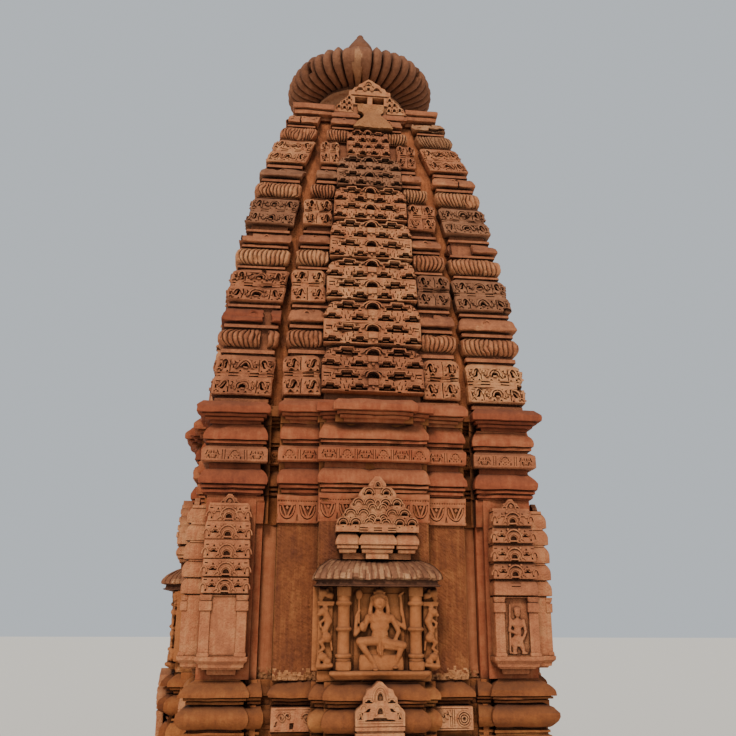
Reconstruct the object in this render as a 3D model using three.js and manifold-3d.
// Small Nagara shrine of red sandstone: a moulded base, a hollow cell with a doorway,
// a cornice of four courses, a curved tower with corner stacks and spines, and a ribbed crown.
// Millimetres, +Z up, origin on the ground under the middle of the plan, niche front towards -Y.

import * as THREE from "three";
import Module from "manifold-3d";
import { mergeVertices } from "three/addons/utils/BufferGeometryUtils.js";

const wasm = await Module();
wasm.setup();

// Heights of the course joints above the ground
const footCourseTop = 310;
const potCourseTop = 806;
const rollCourseTop = 966;
const baseTop = 1132;
const friezeBottom = 2224;
const friezeTop = 2434;
const lowerCorniceTop = 2675;
const bandTop = 2800;
const upperCorniceTop = 2978;
const eaveTop = 3145;
const storeyFeet = [3145, 3975, 4735, 5445, 6150];
const shoulderTop = 6318;
const neckTop = 6700;
const crownTop = 7110;
const finialTop = 7720;

// The plan of one side, as bays from the corner to the middle: each has the distance of its
// face from the axis, and the place where it ends.
const wallFace = 1242;
const cornerEdge = 812;
const flankOuterEdge = 712;
const recessFace = 1130;
const middleWallFace = 1440;
const middleFriezeFace = 1450;
const baseBays = [
  { face: wallFace, to: 878 },
  { face: wallFace - 36, to: 790 },
  { face: recessFace, to: 715 },
  { face: wallFace + 40, to: 431 },
  { face: wallFace + 190, to: 345 },
  { face: wallFace + 250, to: 0 },
];
const corniceBays = [
  { face: wallFace, to: cornerEdge },
  { face: wallFace - 125, to: flankOuterEdge },
  { face: wallFace + 72, to: 412 },
  { face: wallFace + 144, to: 0 },
];
const eaveBays = [
  { face: wallFace, to: cornerEdge },
  { face: wallFace - 105, to: flankOuterEdge + 20 },
  { face: wallFace + 82, to: 430 },
  { face: wallFace + 142, to: 300 },
  { face: wallFace + 196, to: 0 },
];
const wallBays = [
  { face: recessFace, to: flankOuterEdge - 4 },
  { face: wallFace + 48, to: 404 },
  { face: middleWallFace, to: 0 },
];
const friezeBays = [
  { face: recessFace + 22, to: flankOuterEdge + 4 },
  { face: wallFace + 78, to: 412 },
  { face: middleFriezeFace, to: 0 },
];
const returnShare = 0.2;

// Joint between stones that rest against each other
const seat = 0.3;

// Moulding profiles as height and outward offset from the faces of the plan
const footProfile = [[0, 96], [200, 96], [262, 74], [footCourseTop, 30]];
const potProfile = [[footCourseTop, 52], [352, 84], [690, 84], [758, 58], [potCourseTop, 26]];
const rollProfile = [[potCourseTop, 40], [836, 92], [886, 112], [936, 92], [rollCourseTop, 40]];
const upperBaseProfile = [
  [rollCourseTop, 30], [1000, 32], [1018, 54], [1024, 98], [1074, 84], [baseTop, 10],
];
const lowerCorniceProfile = [
  [friezeTop + seat, 4], [2476, 8], [2484, 32], [2508, 34], [2512, 62], [2566, 60], [2636, 12],
  [lowerCorniceTop - seat, 4],
];
const bandProfile = [[lowerCorniceTop, 56], [2784, 58], [bandTop, 30]];
const upperCorniceProfile = [
  [bandTop, 12], [2826, 16], [2850, 32], [2854, 46], [2904, 44], [upperCorniceTop, 8],
];
const eaveProfile = [
  [upperCorniceTop, 20], [3004, 22], [3008, 46], [3026, 48], [3030, 70], [3046, 72],
  [3050, 104], [3100, 112], [eaveTop, 68],
];

// Carved blocks on the flanks of the roll course, and the small niche in front of the base
const rollBlock = { inner: 424, outer: 708, face: 1398, foot: 809, head: 963 };
const baseNicheHalf = 158;
const baseNicheFace = 1636;
const baseNicheFoot = 352;
const baseNicheLedge = 862;
const baseNicheTip = 1142;

// Cell and doorway
const cellHalf = 700;
const doorHalf = 310;
const doorHead = 2190;
const doorSillHeight = 46;
const jambOuter = 424;
const jambFace = wallFace + 290;
const lintelRise = 60;
const hoodHalf = 470;

// Corner piers of the wall: a shaft with a carved strip on each outer face. The strip is given
// as height, half width and outward offset: a ledge, a pair of pilasters, and five courses.
const pierInner = cornerEdge + 6;
const pierStep = 872;
const pierStepDepth = 46;
const stripMiddle = 1063;
const stripProfile = [
  [1166, 96, 30], [1200, 100, 36], [1204, 132, 92], [1217, 150, 104], [1262, 172, 142],
  [1289, 174, 144], [1293, 163, 128], [1700, 163, 128], [1716, 150, 112], [1720, 168, 146],
  [1770, 164, 140], [1811, 146, 108], [1829, 148, 110], [1833, 166, 148], [1900, 164, 142],
  [1940, 150, 110], [1956, 150, 108], [1960, 166, 146], [2030, 164, 140], [2076, 150, 108],
  [2092, 150, 106], [2096, 166, 142], [2166, 164, 134], [2206, 148, 104], [2221, 148, 100],
  [2225, 158, 132], [2300, 140, 118], [2346, 110, 96], [2350, 70, 92], [2425, 52, 84],
];
const stripRoot = 12;
const pilasterOut = 128;
const panelHalf = 94;
const panelSink = 42;
const panelFoot = 1308;
const panelHead = 1680;

// Niche of the middle bay
const nicheHalf = 438;
const nicheFace = 1556;
const nicheTop = 1764;
const nicheLedgeTop = 1206;
const pillarSpacing = 268;
const pillarRadius = 46;
const nichePlateFace = 1476;
const awningHalf = 456;
const awningFace = 1642;
const awningTop = 1956;
const pedimentFace = 1550;
const pedimentBottom = 1972;

// Tower: values at the feet of the four storeys and at their top
const towerHalf = [1266, 1208, 1095, 955, 732];
const stackInnerEdge = [800, 735, 680, 590, 450];
const flankEdge = [705, 665, 590, 445, 310];
const flankOut = [56, 46, 30, 20, 10];
const spineHeights = [3145, 3975, 4735, 5445, 5600, 5830, 6150];
const spineHalf = [415, 382, 325, 256, 236, 168, 62];
const spineOut = [106, 92, 66, 58, 56, 52, 34];
const recessDepth = 112;
// One storey: share of its height and outward offset of each ring
const storeyProfile = [
  [0.0, -34], [0.05, -32], [0.06, 0], [0.465, 0], [0.475, -30], [0.54, -30], [0.565, 4],
  [0.64, 14], [0.72, -4], [0.775, -26], [0.782, 8], [0.87, 6],
];

// Crown
const neckRadius = 440;
const crownRadius = 767;
const crownRibs = 28;
const ribDepth = 64;

const sandstone = new THREE.MeshStandardMaterial({ color: 0xb5683f, roughness: 0.92, metalness: 0 });
const darkStone = new THREE.MeshStandardMaterial({ color: 0x8a4a35, roughness: 0.94, metalness: 0 });
const paleStone = new THREE.MeshStandardMaterial({ color: 0xc98654, roughness: 0.9, metalness: 0 });

const temple = new THREE.Group();

function place(name, geometry, material, parent = temple) {
  const mesh = new THREE.Mesh(geometry, material);
  mesh.name = name;
  parent.add(mesh);
  return mesh;
}

// Linear interpolation of a value given at rising heights
function valueAt(heights, values, z) {
  let i = 0;
  while (i < heights.length - 2 && z > heights[i + 1]) {
    i += 1;
  }
  const share = (z - heights[i]) / (heights[i + 1] - heights[i]);
  return values[i] + share * (values[i + 1] - values[i]);
}

// A closed solid through rings of equally many points, counter-clockwise seen from above
function loft(rings) {
  const count = rings[0].points.length;
  const positions = [];
  for (const ring of rings) {
    for (const point of ring.points) {
      positions.push(point.x, point.y, ring.z);
    }
  }
  const indices = [];
  for (let r = 0; r + 1 < rings.length; r += 1) {
    for (let j = 0; j < count; j += 1) {
      const a = r * count + j;
      const b = r * count + (j + 1) % count;
      indices.push(a, b, b + count, a, b + count, a + count);
    }
  }
  const bottom = THREE.ShapeUtils.triangulateShape(rings[0].points, []);
  for (const [a, b, c] of bottom) {
    indices.push(a, c, b);
  }
  const last = (rings.length - 1) * count;
  const top = THREE.ShapeUtils.triangulateShape(rings[rings.length - 1].points, []);
  for (const [a, b, c] of top) {
    indices.push(last + a, last + b, last + c);
  }
  const geometry = new THREE.BufferGeometry();
  geometry.setAttribute("position", new THREE.Float32BufferAttribute(positions, 3));
  geometry.setIndex(indices);
  return geometry;
}

function toSolid(geometry) {
  const bare = geometry.clone();
  bare.deleteAttribute("normal");
  bare.deleteAttribute("uv");
  const merged = mergeVertices(bare, 1e-3);
  return new wasm.Manifold(new wasm.Mesh({
    numProp: 3,
    vertProperties: new Float32Array(merged.attributes.position.array),
    triVerts: new Uint32Array(merged.index.array),
  }));
}

function toGeometry(solid) {
  const mesh = solid.getMesh();
  const geometry = new THREE.BufferGeometry();
  geometry.setAttribute("position", new THREE.BufferAttribute(new Float32Array(mesh.vertProperties), 3));
  geometry.setIndex(new THREE.BufferAttribute(new Uint32Array(mesh.triVerts), 1));
  return geometry;
}

function join(geometries) {
  let whole = toSolid(geometries[0]);
  for (const geometry of geometries.slice(1)) {
    whole = whole.add(toSolid(geometry));
  }
  return toGeometry(whole);
}

function cut(geometry, tools) {
  let whole = toSolid(geometry);
  for (const tool of tools) {
    whole = whole.subtract(toSolid(tool));
  }
  return toGeometry(whole);
}

// A box between two corners
function block(x0, x1, y0, y1, z0, z1) {
  const geometry = new THREE.BoxGeometry(x1 - x0, y1 - y0, z1 - z0);
  geometry.translate((x0 + x1) / 2, (y0 + y1) / 2, (z0 + z1) / 2);
  return geometry;
}

// A flat outline in x and z, made solid from y0 to y1
function slab(outline, y0, y1) {
  const geometry = new THREE.ExtrudeGeometry(new THREE.Shape(outline), { depth: y1 - y0, bevelEnabled: false });
  geometry.rotateX(Math.PI / 2);
  geometry.translate(0, y1, 0);
  return geometry;
}

// Half of one side of the plan, from the corner to the middle, moved outward by an offset
function halfSide(bays, offset) {
  const shift = returnShare * offset;
  const points = [];
  bays.forEach((bay, i) => {
    const face = bay.face + offset;
    if (i > 0) {
      points.push([points[points.length - 1][0], face]);
    }
    const next = bays[i + 1];
    if (next) {
      points.push([bay.face > next.face ? bay.to - shift : bay.to + shift, face]);
    }
  });
  return points;
}

// The whole plan ring of a course that runs round the building
function planRing(bays, z, offset) {
  const half = halfSide(bays, offset);
  const corner = bays[0].face + offset;
  const side = [new THREE.Vector2(-corner, -corner)];
  for (const [x, face] of half) {
    side.push(new THREE.Vector2(-x, -face));
  }
  for (const [x, face] of [...half].reverse()) {
    side.push(new THREE.Vector2(x, -face));
  }
  const points = [];
  for (let turn = 0; turn < 4; turn += 1) {
    for (const point of side) {
      points.push(quarterTurns(point, turn));
    }
  }
  return { z, points };
}

function quarterTurns(point, turns) {
  let turned = point.clone();
  for (let i = 0; i < turns; i += 1) {
    turned = new THREE.Vector2(-turned.y, turned.x);
  }
  return turned;
}

function course(bays, profile) {
  return loft(profile.map(([z, offset]) => planRing(bays, z, offset)));
}

function cellBox(z0, z1) {
  return block(-cellHalf, cellHalf, -cellHalf, cellHalf, z0, z1);
}

// The four sides are turned copies of the front
const sides = [["front", 0], ["right", 1], ["back", 2], ["left", 3]];
const sideGroups = {};
for (const [name, turns] of sides) {
  const group = new THREE.Group();
  group.rotation.z = turns * Math.PI / 2;
  temple.add(group);
  sideGroups[name] = group;
}

// Base courses, solid masonry under the cell floor
place("foot_course", course(baseBays, footProfile), sandstone);
place("pot_course", course(baseBays, potProfile), sandstone);
function rollCourseGeometry() {
  const pieces = [course(baseBays, rollProfile)];
  for (let turn = 0; turn < 4; turn += 1) {
    for (const [x0, x1] of [[rollBlock.inner, rollBlock.outer], [-rollBlock.outer, -rollBlock.inner]]) {
      const carved = block(x0, x1, -rollBlock.face, -recessFace, rollBlock.foot, rollBlock.head);
      pieces.push(carved.rotateZ(turn * Math.PI / 2));
    }
  }
  return join(pieces);
}
place("roll_course", rollCourseGeometry(), sandstone);
place("upper_base_course", course(baseBays, upperBaseProfile), sandstone);

// Small blind niche on the pot course, with a stepped gable in front of the roll
function baseNicheGeometry() {
  const potFace = baseBays[5].face + 84 + seat;
  const rollFace = baseBays[5].face + 112 + seat;
  const half = baseNicheHalf;
  const gable = [
    [-half, baseNicheLedge - 1], [half, baseNicheLedge - 1], [half, 900], [half - 18, 960], [half - 42, 1010],
    [half - 74, 1056], [half - 112, 1092], [0, baseNicheTip], [112 - half, 1092], [74 - half, 1056],
    [42 - half, 1010], [18 - half, 960], [-half, 900],
  ].map(([x, z]) => new THREE.Vector2(x, z));
  return join([
    block(-half, half, -baseNicheFace + 10, -potFace, baseNicheFoot, 689),
    block(-half, half, -baseNicheFace + 10, -rollFace, 688, baseNicheLedge),
    slab(gable, -baseNicheFace, -rollFace),
  ]);
}
for (const name of ["front", "right", "left"]) {
  place(`${name}_base_niche`, baseNicheGeometry(), sandstone, sideGroups[name]);
}

// Corner piers: a square shaft with a set-back edge, and a carved strip on both outer faces
function pierGeometry() {
  const outer = wallFace;
  const inner = pierInner + seat;
  const back = outer - pierStepDepth;
  const points = [
    new THREE.Vector2(inner, -back),
    new THREE.Vector2(pierStep, -back),
    new THREE.Vector2(pierStep, -outer),
    new THREE.Vector2(outer, -outer),
    new THREE.Vector2(outer, -pierStep),
    new THREE.Vector2(back, -pierStep),
    new THREE.Vector2(back, -inner),
    new THREE.Vector2(inner, -inner),
  ];
  const shaft = loft([{ z: baseTop + seat, points }, { z: friezeTop - seat, points }]);
  const strip = loft(stripProfile.map(([z, half, out]) => ({
    z,
    points: [
      new THREE.Vector2(stripMiddle - half, -outer - out),
      new THREE.Vector2(stripMiddle + half, -outer - out),
      new THREE.Vector2(stripMiddle + half, -outer + stripRoot),
      new THREE.Vector2(stripMiddle - half, -outer + stripRoot),
    ],
  })));
  const panel = block(
    stripMiddle - panelHalf, stripMiddle + panelHalf,
    -outer - pilasterOut - 1, -outer - pilasterOut + panelSink, panelFoot, panelHead,
  );
  const front = toGeometry(toSolid(strip).subtract(toSolid(panel)));
  const side = front.clone();
  side.rotateZ(Math.PI / 2);
  side.scale(1, -1, 1);
  side.setIndex([...side.index.array].reverse());
  return join([shaft, front, side]);
}

const pierNames = ["pier_front_right", "pier_back_right", "pier_back_left", "pier_front_left"];
pierNames.forEach((name, turns) => {
  place(name, pierGeometry(), paleStone).rotation.z = turns * Math.PI / 2;
});

// Plan outline of a wall from one end to the other, outer face with its projections
function wallOutline(bays, half, innerReach) {
  const points = [];
  const outer = halfSide(bays, 0);
  points.push(new THREE.Vector2(-half, -bays[0].face));
  for (const [x, face] of outer) {
    points.push(new THREE.Vector2(-x, -face));
  }
  for (const [x, face] of [...outer].reverse()) {
    points.push(new THREE.Vector2(x, -face));
  }
  points.push(new THREE.Vector2(half, -bays[0].face));
  for (const [x, y] of innerReach) {
    points.push(new THREE.Vector2(x, -y));
  }
  return points;
}

// Front and back walls run from pier to pier; side walls end against them
const throughWallEnds = [[pierInner, cellHalf], [-pierInner, cellHalf]];
const sideWallEnds = [
  [pierInner, pierInner + seat], [cellHalf - seat, pierInner + seat], [cellHalf - seat, cellHalf],
  [seat - cellHalf, cellHalf], [seat - cellHalf, pierInner + seat], [-pierInner, pierInner + seat],
];

function wallGeometry(ends) {
  const points = wallOutline(wallBays, pierInner, ends);
  return loft([{ z: baseTop, points }, { z: friezeBottom, points }]);
}

// The back wall is parted by the doorway
function doorWallGeometry() {
  const points = wallOutline(wallBays, pierInner, throughWallEnds);
  const whole = loft([{ z: baseTop + seat, points }, { z: friezeBottom - seat, points }]);
  return cut(whole, [block(-pierInner - 1, doorHalf, -1600, -600, baseTop - 1, friezeBottom + 1)]);
}

place("front_wall", wallGeometry(throughWallEnds), darkStone, sideGroups.front);
place("right_wall", wallGeometry(sideWallEnds), darkStone, sideGroups.right);
place("left_wall", wallGeometry(sideWallEnds), darkStone, sideGroups.left);
place("back_wall_left", doorWallGeometry(), darkStone, sideGroups.back);
const doorWallMirrored = doorWallGeometry();
doorWallMirrored.scale(-1, 1, 1);
doorWallMirrored.setIndex([...doorWallMirrored.index.array].reverse());
place("back_wall_right", doorWallMirrored, darkStone, sideGroups.back);

// Doorway frame of plain jambs, a sill and a lintel stone
const jambBack = middleWallFace + seat;
const doorJambs = [["door_jamb_left", doorHalf, jambOuter], ["door_jamb_right", -jambOuter, -doorHalf]];
for (const [name, x0, x1] of doorJambs) {
  place(name, block(x0, x1, -jambFace, -jambBack, baseTop, doorHead), paleStone, sideGroups.back);
}
place(
  "door_sill",
  block(seat - doorHalf, doorHalf - seat, -jambFace, -cellHalf, baseTop, baseTop + doorSillHeight),
  paleStone,
  sideGroups.back,
);
// The lintel's face is cut as a low hood that reaches as far as the awnings of the niches
const hoodRings = [
  [doorHead + seat, -14, -14], [doorHead + 14, 0, 0], [doorHead + 46, -6, -12],
  [doorHead + 74, -24, -50], [friezeBottom + lintelRise, -60, -104],
];
const lintelHood = loft(hoodRings.map(([z, sideways, outward]) => ({
  z,
  points: [
    new THREE.Vector2(-hoodHalf - sideways, -awningFace - outward),
    new THREE.Vector2(hoodHalf + sideways, -awningFace - outward),
    new THREE.Vector2(hoodHalf + sideways, -jambBack),
    new THREE.Vector2(-hoodHalf - sideways, -jambBack),
  ],
})));
place(
  "door_lintel",
  join([
    lintelHood,
    block(seat - doorHalf, doorHalf - seat, -jambBack - 1, -cellHalf, doorHead + seat, friezeBottom - seat),
  ]),
  paleStone,
  sideGroups.back,
);

// Frieze course over the walls, notched round the piers, open over the cell
function friezeGeometry() {
  const frontEdge = [];
  for (const [x, face] of halfSide(friezeBays, 0)) {
    frontEdge.push([x, face]);
  }
  const side = [
    new THREE.Vector2(-pierInner, -pierInner),
    new THREE.Vector2(-pierInner, -friezeBays[0].face),
  ];
  for (const [x, face] of frontEdge) {
    side.push(new THREE.Vector2(-x, -face));
  }
  for (const [x, face] of [...frontEdge].reverse()) {
    side.push(new THREE.Vector2(x, -face));
  }
  side.push(new THREE.Vector2(pierInner, -friezeBays[0].face));
  const points = [];
  for (let turn = 0; turn < 4; turn += 1) {
    for (const point of side) {
      points.push(quarterTurns(point, turn));
    }
  }
  const whole = loft([{ z: friezeBottom + seat, points }, { z: friezeTop - seat, points }]);
  const lintelNotch = block(
    -jambOuter - seat, jambOuter + seat, jambBack - seat, jambFace + 1,
    friezeBottom - 1, friezeBottom + lintelRise + seat,
  );
  return cut(whole, [cellBox(friezeBottom - 1, friezeTop + 1), lintelNotch]);
}
place("garland_frieze", friezeGeometry(), sandstone);

// Cornice courses: the lower one is open over the cell, the carved band above is its ceiling
place(
  "lower_cornice",
  cut(course(corniceBays, lowerCorniceProfile), [cellBox(friezeTop - 1, lowerCorniceTop + 1)]),
  sandstone,
);
place("carved_band", course(corniceBays, bandProfile), sandstone);
place("upper_cornice", course(corniceBays, upperCorniceProfile), sandstone);
place("eave_slab", course(eaveBays, eaveProfile), sandstone);

// A turned pillar with square foot and capital
function pillarGeometry(x) {
  const shaftTop = nicheTop - 96;
  const middle = (nicheLedgeTop + nicheTop) / 2 - 20;
  const profile = [
    [0, nicheLedgeTop + 50],
    [pillarRadius + 6, nicheLedgeTop + 50],
    [pillarRadius - 4, nicheLedgeTop + 90],
    [pillarRadius - 4, middle - 26],
    [pillarRadius + 8, middle],
    [pillarRadius - 4, middle + 26],
    [pillarRadius - 4, shaftTop],
    [pillarRadius + 8, shaftTop + 20],
    [0, shaftTop + 20],
  ].map(([r, z]) => new THREE.Vector2(r, z));
  const shaft = new THREE.LatheGeometry(profile, 12);
  shaft.rotateX(Math.PI / 2);
  shaft.translate(x, -nicheFace + pillarRadius + 2, 0);
  const foot = block(x - 56, x + 56, -nicheFace, -nichePlateFace, nicheLedgeTop, nicheLedgeTop + 56);
  const head = block(x - 56, x + 56, -nicheFace, -nichePlateFace, shaftTop + 14, nicheTop);
  return [shaft, foot, head];
}

// Niche frame: back plate, ledge, two pillars and a carved strip outside each
function nicheFrameGeometry() {
  const wall = middleWallFace + seat;
  const stripInner = pillarSpacing + 62;
  const pieces = [
    block(-nicheHalf, nicheHalf, -nichePlateFace, -wall, nicheLedgeTop - 1, nicheTop),
    block(-nicheHalf + 14, nicheHalf - 14, -nicheFace - 14, -wall, baseTop + seat, nicheLedgeTop),
    block(-nicheHalf, -stripInner, -nicheFace + 22, -wall, nicheLedgeTop - 1, nicheTop),
    block(stripInner, nicheHalf, -nicheFace + 22, -wall, nicheLedgeTop - 1, nicheTop),
    ...pillarGeometry(-pillarSpacing),
    ...pillarGeometry(pillarSpacing),
  ];
  return join(pieces);
}

function ellipsoid(x, y, z, rx, ry, rz, tilt = 0, detail = 0) {
  const geometry = new THREE.IcosahedronGeometry(1, detail);
  geometry.scale(rx, ry, rz);
  geometry.rotateY(tilt);
  geometry.translate(x, y, z);
  return geometry;
}

// Seated figure in relief on a block seat, one leg folded and one hanging
function figureGeometry() {
  const plate = -nichePlateFace - seat;
  const mid = plate - 30;
  const pieces = [
    block(-120, 150, plate - 62, plate, nicheLedgeTop + seat, 1300),
    block(-182, 182, plate - 8, plate, nicheLedgeTop + seat, 1716),
    ellipsoid(0, mid, 1420, 82, 44, 130, 0, 1),
    ellipsoid(0, mid, 1510, 104, 40, 52),
    ellipsoid(0, mid - 6, 1622, 44, 38, 56, 0, 1),
    block(-46, 46, plate - 50, plate, 1650, 1742),
    ellipsoid(-66, mid - 10, 1316, 96, 36, 34, -0.5),
    ellipsoid(78, mid - 10, 1316, 110, 36, 32, 0.1),
    ellipsoid(-20, mid - 10, 1262, 84, 32, 26, 0.6),
    ellipsoid(-116, mid, 1440, 30, 30, 104, 0.25),
    ellipsoid(116, mid, 1440, 30, 30, 100, -0.25),
    ellipsoid(-150, mid, 1600, 24, 28, 110),
    ellipsoid(150, mid, 1600, 24, 28, 110),
  ];
  const room = block(-206, 206, -nicheFace - 10, plate, nicheLedgeTop + seat, nicheTop - seat);
  return toGeometry(toSolid(join(pieces)).intersect(toSolid(room)));
}

// Awning stone: a hipped hood that curves down to a lip
function awningGeometry() {
  const back = middleWallFace + seat;
  const rings = [
    [nicheTop + seat, -12, -14],
    [nicheTop + 18, 0, 0],
    [nicheTop + 70, -14, -24],
    [nicheTop + 126, -44, -66],
    [nicheTop + 166, -84, -128],
    [awningTop, -130, -182],
  ];
  return loft(rings.map(([z, sideways, outward]) => {
    const x = awningHalf + sideways;
    const face = awningFace + outward;
    return {
      z,
      points: [
        new THREE.Vector2(-x, -face),
        new THREE.Vector2(x, -face),
        new THREE.Vector2(x, -back),
        new THREE.Vector2(-x, -back),
      ],
    };
  }));
}

// Pediment: two plain courses under a gable of steps that narrows to its tip
function pedimentGeometry() {
  const wall = middleWallFace + seat;
  const back = middleFriezeFace + seat;
  const foot = block(-262, 262, -pedimentFace + 26, -wall, awningTop + seat, pedimentBottom + 50);
  const kapota = block(-304, 304, -pedimentFace, -wall, pedimentBottom + 50, pedimentBottom + 190);
  const gable = [
    [-300, 2160], [300, 2160], [300, 2240], [236, 2300], [236, 2352], [150, 2420], [150, 2474],
    [52, 2540], [0, 2592], [-52, 2540], [-150, 2474], [-150, 2420], [-236, 2352], [-236, 2300],
    [-300, 2240],
  ].map(([x, z]) => new THREE.Vector2(x, z));
  const face = slab(gable, -pedimentFace + 6, -back);
  const lowerBack = block(-236, 236, -back - 6, -wall, 2150, friezeBottom - seat);
  return join([foot, kapota, face, lowerBack]);
}

for (const name of ["front", "right", "left"]) {
  const group = sideGroups[name];
  place(`${name}_niche_frame`, nicheFrameGeometry(), sandstone, group);
  place(`${name}_niche_figure`, figureGeometry(), sandstone, group);
  place(`${name}_awning`, awningGeometry(), paleStone, group);
  place(`${name}_pediment`, pedimentGeometry(), sandstone, group);
}

// Rings of one tower face or stack, storey by storey
function storeyRings(ringAt) {
  const rings = [];
  for (let storey = 0; storey + 1 < storeyFeet.length; storey += 1) {
    const foot = storeyFeet[storey];
    const height = storeyFeet[storey + 1] - foot;
    for (const [share, offset] of storeyProfile) {
      rings.push(ringAt(foot + share * height, offset));
    }
  }
  rings.push(ringAt(storeyFeet[storeyFeet.length - 1], storeyProfile[0][1]));
  return rings;
}

// Solid masonry core of the tower
const core = storeyFeet.map((z, i) => {
  const half = towerHalf[i] - recessDepth;
  const points = [[-half, -half], [half, -half], [half, half], [-half, half]];
  return { z, points: points.map(([x, y]) => new THREE.Vector2(x, y)) };
});
place("tower_core", loft(core), darkStone);

// Corner stack: carved blocks, ribbed cushions and small cornices, wrapped round the core's edge
function stackGeometry() {
  return loft(storeyRings((z, offset) => {
    const outer = valueAt(storeyFeet, towerHalf, z) + offset;
    const inner = valueAt(storeyFeet, stackInnerEdge, z) - returnShare * offset;
    const coreHalf = valueAt(storeyFeet, towerHalf, z) - recessDepth + seat;
    return {
      z,
      points: [
        new THREE.Vector2(inner, -outer),
        new THREE.Vector2(outer, -outer),
        new THREE.Vector2(outer, -inner),
        new THREE.Vector2(coreHalf, -inner),
        new THREE.Vector2(coreHalf, -coreHalf),
        new THREE.Vector2(inner, -coreHalf),
      ],
    };
  }));
}

// Tower face: a spine of interlaced arches between two flank strips
function faceGeometry() {
  return loft(storeyRings((z, offset) => {
    const half = valueAt(storeyFeet, towerHalf, z);
    const back = half - recessDepth + seat;
    const edge = valueAt(storeyFeet, flankEdge, z) + returnShare * offset;
    const flank = half + valueAt(storeyFeet, flankOut, z) + offset;
    const spineEdge = valueAt(spineHeights, spineHalf, z);
    const spine = half + valueAt(spineHeights, spineOut, z);
    return {
      z,
      points: [
        new THREE.Vector2(-edge, -flank),
        new THREE.Vector2(-spineEdge, -flank),
        new THREE.Vector2(-spineEdge, -spine),
        new THREE.Vector2(spineEdge, -spine),
        new THREE.Vector2(spineEdge, -flank),
        new THREE.Vector2(edge, -flank),
        new THREE.Vector2(edge, -back),
        new THREE.Vector2(-edge, -back),
      ],
    };
  }));
}

const stackNames = [
  "corner_stack_front_right", "corner_stack_back_right", "corner_stack_back_left", "corner_stack_front_left",
];
stackNames.forEach((name, turns) => {
  place(name, stackGeometry(), sandstone).rotation.z = turns * Math.PI / 2;
});
for (const [name] of sides) {
  place(`${name}_tower_face`, faceGeometry(), sandstone, sideGroups[name]);
}

// Shoulder slab over the tower
const shoulderTowerTop = storeyFeet[storeyFeet.length - 1];
const shoulder = [
  [shoulderTowerTop, 660], [6196, 660], [6200, 678], [6220, 678], [6224, 696], [6276, 694], [shoulderTop, 660],
].map(([z, half]) => ({
  z,
  points: [[-half, -half], [half, -half], [half, half], [-half, half]].map(([x, y]) => new THREE.Vector2(x, y)),
}));
place("shoulder_slab", loft(shoulder), paleStone);

// Dormer on each side of the slab: a small gable with two square openings
function dormerGeometry() {
  const gable = [
    [-332, shoulderTop + seat], [332, shoulderTop + seat], [332, shoulderTop + 22], [206, shoulderTop + 110],
    [206, shoulderTop + 148], [60, shoulderTop + 262], [0, shoulderTop + 302], [-60, shoulderTop + 262],
    [-206, shoulderTop + 148], [-206, shoulderTop + 110], [-332, shoulderTop + 22],
  ].map(([x, z]) => new THREE.Vector2(x, z));
  const body = slab(gable, -660, -neckRadius - seat);
  const openingBottom = shoulderTop + 14;
  const openingTop = openingBottom + 86;
  return cut(body, [
    block(-142, -26, -670, -540, openingBottom, openingTop),
    block(26, 142, -670, -540, openingBottom, openingTop),
  ]);
}
for (const [name] of sides) {
  place(`${name}_dormer`, dormerGeometry(), paleStone, sideGroups[name]);
}

// Neck drum under the crown
const neckProfile = [
  [0, shoulderTop], [neckRadius, shoulderTop], [neckRadius, neckTop], [0, neckTop],
].map(([r, z]) => new THREE.Vector2(r, z));
place("neck", new THREE.LatheGeometry(neckProfile, 24).rotateX(Math.PI / 2), paleStone);

// Ribbed crown: a thick round cushion cut into ribs
function crownGeometry() {
  const steps = crownRibs * 3;
  const section = [
    [neckTop, 450, 0.1], [neckTop + 26, 640, 0.8], [neckTop + 80, 738, 1], [neckTop + 150, crownRadius, 1],
    [neckTop + 260, 728, 1], [neckTop + 350, 630, 0.9], [crownTop, 440, 0.2],
  ];
  return loft(section.map(([z, radius, share]) => {
    const points = [];
    for (let i = 0; i < steps; i += 1) {
      const angle = (2 * Math.PI * i) / steps;
      const wave = Math.abs(Math.sin((crownRibs * angle) / 2));
      const r = radius - ribDepth * share * (1 - wave);
      points.push(new THREE.Vector2(r * Math.cos(angle), r * Math.sin(angle)));
    }
    return { z, points };
  }));
}
place("ribbed_crown", crownGeometry(), darkStone);

// Finial: a bell-shaped dome under a worn pot with a blunt tip
const finialProfile = [
  [0, crownTop], [452, crownTop], [470, crownTop + 40], [448, crownTop + 100], [372, crownTop + 180],
  [262, crownTop + 240], [176, crownTop + 274], [150, crownTop + 306], [192, crownTop + 342],
  [206, crownTop + 390], [190, crownTop + 446], [144, crownTop + 496], [92, crownTop + 534],
  [48, crownTop + 562], [18, finialTop], [0, finialTop],
].map(([r, z]) => new THREE.Vector2(r, z));
place("finial", new THREE.LatheGeometry(finialProfile, 16).rotateX(Math.PI / 2), darkStone);

export default temple;
